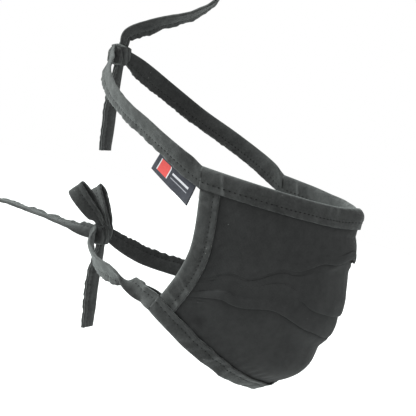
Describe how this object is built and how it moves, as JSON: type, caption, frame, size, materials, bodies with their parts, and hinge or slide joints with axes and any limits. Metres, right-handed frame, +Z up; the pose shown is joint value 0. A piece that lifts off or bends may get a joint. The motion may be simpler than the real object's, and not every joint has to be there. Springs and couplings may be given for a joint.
{
  "type": "cloth face mask with tie tapes",
  "caption": "Pleated cloth face mask with bound edges, tied behind the crown and at the nape, held in its worn form.",
  "frame": {"origin": "nose seat: the middle of the top edge, on the inner face, as the mask is worn upright", "axes": "+Z up as worn, the front of the mask faces -Y, +X is the wearer's left"},
  "size_m": [0.1498, 0.2783, 0.2518],
  "materials": {
    "panel_cloth": "matte black cotton jersey, fine knit",
    "tape_cloth": "charcoal folded cotton tape, soft sheen, stitched along its length",
    "woven_label": "dark navy woven label with plain coloured bands, no lettering"
  },
  "bodies": {
    "root": {"pleated_panel": "panel_cloth", "top_binding": "tape_cloth", "bottom_binding": "tape_cloth", "side_binding_right": "tape_cloth", "side_binding_left": "tape_cloth", "top_tie_right": "tape_cloth", "top_tie_left": "tape_cloth", "nape_tie_right": "tape_cloth", "nape_tie_left": "tape_cloth", "top_knot": "tape_cloth", "crown_tail": "tape_cloth", "top_hanging_tail": "tape_cloth", "nape_knot": "tape_cloth", "bow_loop_right": "tape_cloth", "bow_loop_left": "tape_cloth", "long_tail": "tape_cloth", "nape_hanging_tail": "tape_cloth", "side_label": "woven_label"}
  },
  "joints": []
}
